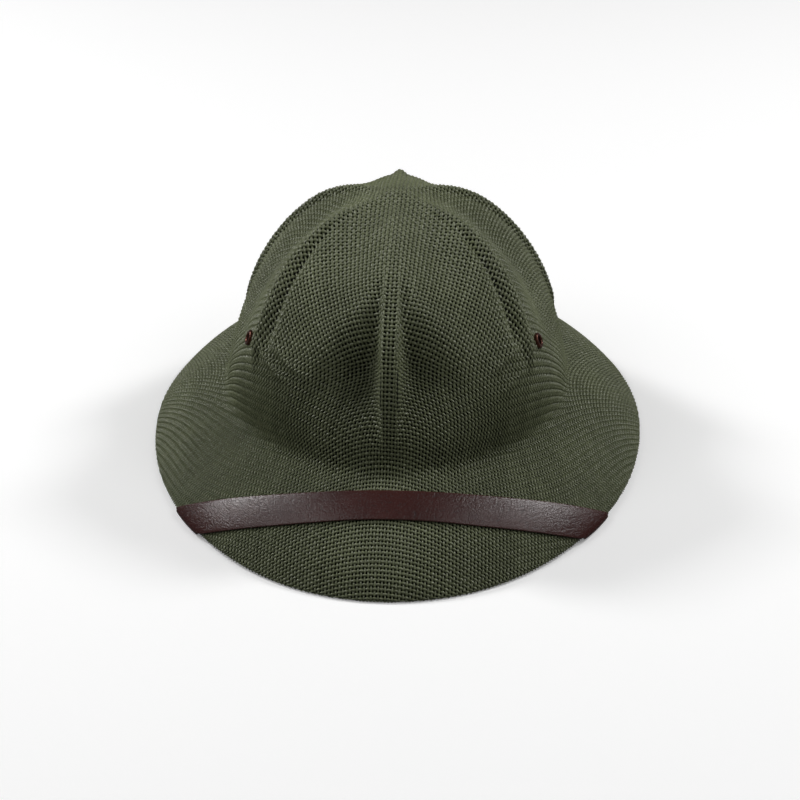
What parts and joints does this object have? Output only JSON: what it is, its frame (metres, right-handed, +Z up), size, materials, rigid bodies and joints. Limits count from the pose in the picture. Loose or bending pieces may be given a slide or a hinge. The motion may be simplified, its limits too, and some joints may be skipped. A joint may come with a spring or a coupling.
{
  "type": "woven straw sun helmet of the kind worn with a beekeeper's veil",
  "caption": "Pressed woven straw sun helmet for beekeeping, with a ribbed and pinched crown, a sloping brim, side eyelets and a leather chin strap laid over the front",
  "frame": {"origin": "on the surface that the brim rests on, at the middle of the brim's oval", "axes": "+Z up, -Y towards the front of the helmet, +X to the right in a view from the front"},
  "size_m": [0.2972, 0.3392, 0.1482],
  "materials": {
    "straw": "woven olive paper straw, faint sheen",
    "leather": "glossy dark reddish brown, fine grain",
    "lacquered_metal": "brown lacquer, semi-gloss"
  },
  "bodies": {
    "root": {"helmet_shell": "straw", "chin_strap": "leather", "eyelet_left": "lacquered_metal", "eyelet_right": "lacquered_metal", "strap_stud_left": "lacquered_metal", "strap_stud_right": "lacquered_metal"}
  },
  "joints": []
}
